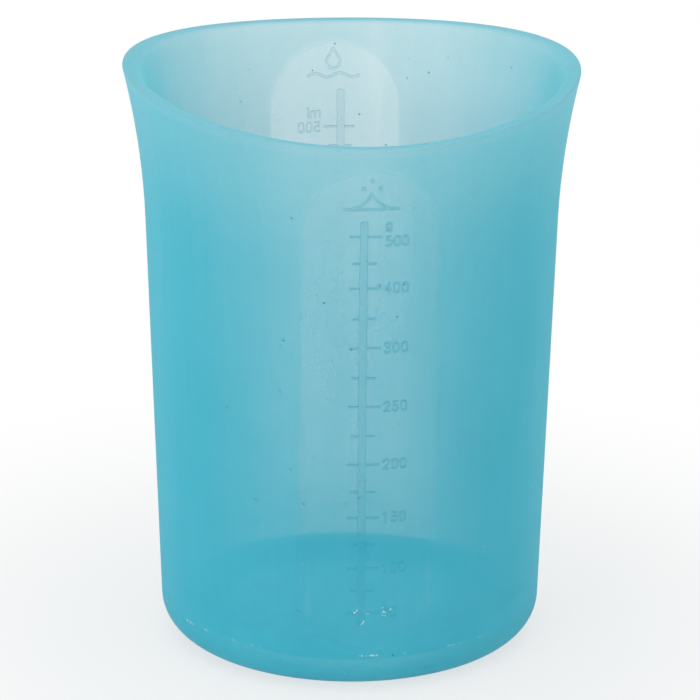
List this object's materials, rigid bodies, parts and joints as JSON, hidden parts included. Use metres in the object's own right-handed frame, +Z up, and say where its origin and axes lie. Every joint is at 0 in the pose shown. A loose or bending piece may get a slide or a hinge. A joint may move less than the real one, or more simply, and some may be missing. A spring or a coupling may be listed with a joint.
{
  "type": "resin mixing cup",
  "caption": "Soft translucent silicone mixing cup with a thick floor, a flared mouth with pouring lips, and raised gram and millilitre scales on clear windows.",
  "frame": {"origin": "middle of the flat face that the cup stands on", "axes": "+Z up, towards the mouth; the pouring lips point along +X and -X; the gram scale faces -Y and the millilitre scale faces +Y"},
  "size_m": [0.1, 0.0952, 0.1316],
  "materials": {
    "satin_silicone": "translucent milky teal silicone with a fine satin surface",
    "polished_silicone": "the same silicone, clearer where the mould was polished",
    "raised_silicone": "the same silicone, in low relief with soft edges"
  },
  "bodies": {
    "root": {"cup_base": "satin_silicone", "cup_wall": "satin_silicone", "flared_mouth": "satin_silicone", "pouring_rim": "satin_silicone", "front_window": "polished_silicone", "back_window": "polished_silicone", "dry_scale_bar": "raised_silicone", "dry_long_marks": "raised_silicone", "dry_short_marks": "raised_silicone", "dry_numerals": "raised_silicone", "dry_unit_sign": "raised_silicone", "powder_sign": "raised_silicone", "liquid_scale_bar": "raised_silicone", "liquid_long_marks": "raised_silicone", "liquid_short_marks": "raised_silicone", "liquid_numerals": "raised_silicone", "liquid_unit_sign": "raised_silicone", "drop_sign": "raised_silicone"}
  },
  "joints": []
}
